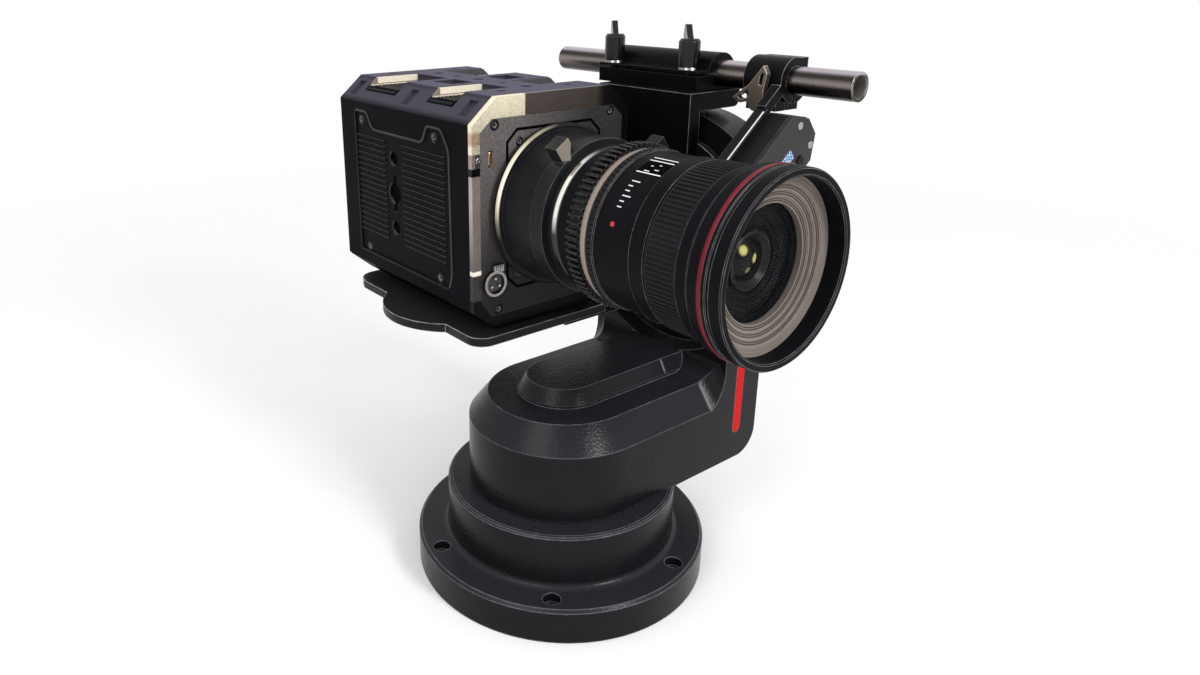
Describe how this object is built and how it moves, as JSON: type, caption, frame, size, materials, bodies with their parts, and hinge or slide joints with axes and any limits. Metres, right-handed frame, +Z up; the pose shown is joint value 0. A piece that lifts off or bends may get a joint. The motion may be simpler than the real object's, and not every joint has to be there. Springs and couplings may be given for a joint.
{
  "type": "robotic pan tilt head",
  "caption": "Motorised pan and tilt head with a round bolted base, a side tower and a cradle that carries a box camera, a zoom lens and a geared lens drive on a rod.",
  "frame": {"origin": "centre of the base underside on the pan axis, in the plane of the bolt circle", "axes": "+Z up along the pan axis, the lens looks along -Y at rest, the tilt axis runs along X with the tower on +X"},
  "size_m": [0.199, 0.2903, 0.3055],
  "materials": {
    "black_alloy": "satin black anodised",
    "grey_alloy": "dark grey anodised",
    "champagne_alloy": "brushed champagne",
    "steel": "brushed",
    "black_screw": "black oxide",
    "motor_can": "satin",
    "gear_brass": "satin",
    "belt_rubber": "matt",
    "black_plastic": "matt",
    "board_green": "satin",
    "light_red": "lit diffuser",
    "ring_red": "gloss",
    "glass": "coated",
    "rod_grey": "anodised",
    "taupe_baffle": "matt",
    "bronze_alloy": "anodised bronze"
  },
  "bodies": {
    "base": {"base_casting": "black_alloy", "base_bottom_cover": "black_alloy", "base_cover_screws": "steel", "pan_sun_gear": "gear_brass", "pan_bearing_outer": "steel"},
    "pan_head": {"pan_bearing_inner": "steel", "pan_spigot": "grey_alloy", "pan_motor": "motor_can", "arm_shell": "black_alloy", "arm_under_cover": "black_alloy", "tower_cover": "black_alloy", "pan_cover_screws": "steel", "light_bar": "light_red", "control_board": "board_green", "tilt_motor": "motor_can", "tilt_belt": "belt_rubber", "tilt_bearing": "steel"},
    "pan_gear": {"pan_pinion": "gear_brass"},
    "motor_pulley": {"tilt_motor_pulley": "steel"},
    "front_wing": {"wing_screw_front": "black_alloy"},
    "rear_wing": {"wing_screw_rear": "black_alloy"},
    "lever": {"clamp_lever": "bronze_alloy"},
    "upper_button": {"drive_button_upper": "black_plastic"},
    "lower_button": {"drive_button_lower": "black_plastic"},
    "zoom_ring": {"zoom_gear_ring": "black_plastic"},
    "drive_gear": {"drive_pinion": "black_plastic"},
    "focus": {"focus_ring": "belt_rubber"},
    "lock_ring": {"camera_lock_ring": "black_alloy"},
    "cradle": {"tilt_shaft": "steel", "tilt_hub": "black_alloy", "cradle_upright": "black_alloy", "cradle_screws": "black_screw", "cradle_plate": "black_alloy", "camera_bolts": "steel", "camera_pad": "belt_rubber", "rod_block": "black_alloy", "wing_washers": "steel", "support_rod": "rod_grey", "rod_clamp": "black_alloy", "drive_housing": "black_alloy", "drive_rail": "black_alloy", "drive_panel": "black_alloy", "drive_screws": "steel", "drive_display": "glass", "camera_shell": "grey_alloy", "camera_bezel": "champagne_alloy", "camera_front_plate": "grey_alloy", "camera_side_panel": "black_alloy", "camera_rear_panel": "black_alloy", "camera_fins": "champagne_alloy", "camera_screws": "black_screw", "camera_connector": "steel", "camera_mount": "black_alloy", "lens_mount": "steel", "lens_barrel": "black_alloy", "lens_front_barrel": "black_alloy", "lens_red_ring": "ring_red", "lens_front_rim": "black_alloy", "lens_baffle": "taupe_baffle", "lens_glass": "glass"}
  },
  "joints": [
    {"name": "pan", "type": "hinge", "parent": "base", "child": "pan_head", "pos_m": [0, 0, 0], "axis": [0, 0, 1], "range_deg": [-170, 170]},
    {"name": "pan_gear_spin", "type": "hinge", "parent": "pan_head", "child": "pan_gear", "pos_m": [0.0283, 0, 0.037], "axis": [0, 0, 1], "range_deg": [-430, 430]},
    {"name": "tilt", "type": "hinge", "parent": "pan_head", "child": "cradle", "pos_m": [0.083, 0, 0.186], "axis": [1, 0, 0], "range_deg": [-30, 45]},
    {"name": "motor_pulley_spin", "type": "hinge", "parent": "pan_head", "child": "motor_pulley", "pos_m": [0.1, 0, 0.09], "axis": [1, 0, 0], "range_deg": [-82, 122]},
    {"name": "front_wing_turn", "type": "hinge", "parent": "cradle", "child": "front_wing", "pos_m": [0.0862, -0.0051, 0.29], "axis": [0, 0, 1], "range_deg": [0, 360]},
    {"name": "rear_wing_turn", "type": "hinge", "parent": "cradle", "child": "rear_wing", "pos_m": [0.0862, 0.0542, 0.29], "axis": [0, 0, 1], "range_deg": [0, 360]},
    {"name": "clamp_lever_turn", "type": "hinge", "parent": "cradle", "child": "lever", "pos_m": [0.09, -0.054, 0.268], "axis": [1, 0, 0], "range_deg": [-70, 0]},
    {"name": "upper_button_press", "type": "slide", "parent": "cradle", "child": "upper_button", "axis": [0, 1, 0], "range_m": [0, 0.0008], "stiffness_N_per_m": 300},
    {"name": "lower_button_press", "type": "slide", "parent": "cradle", "child": "lower_button", "axis": [0, 1, 0], "range_m": [0, 0.0008], "stiffness_N_per_m": 300},
    {"name": "zoom", "type": "hinge", "parent": "cradle", "child": "zoom_ring", "pos_m": [0, -0.05, 0.214], "axis": [0, 1, 0], "range_deg": [-40, 40]},
    {"name": "drive_gear_spin", "type": "hinge", "parent": "cradle", "child": "drive_gear", "pos_m": [0.05478, -0.05, 0.22154], "axis": [0, 1, 0], "range_deg": [-116, 116]},
    {"name": "focus_turn", "type": "hinge", "parent": "cradle", "child": "focus", "pos_m": [0, -0.104, 0.214], "axis": [0, 1, 0], "range_deg": [-60, 60]},
    {"name": "lock_ring_turn", "type": "hinge", "parent": "cradle", "child": "lock_ring", "pos_m": [0, -0.023, 0.214], "axis": [0, 1, 0], "range_deg": [0, 45]}
  ],
  "couplings": [
    {"joint": "pan_gear_spin", "follows": "pan", "ratio": 2.5},
    {"joint": "motor_pulley_spin", "follows": "tilt", "ratio": 2.6667},
    {"joint": "drive_gear_spin", "follows": "zoom", "ratio": -2.8462}
  ]
}
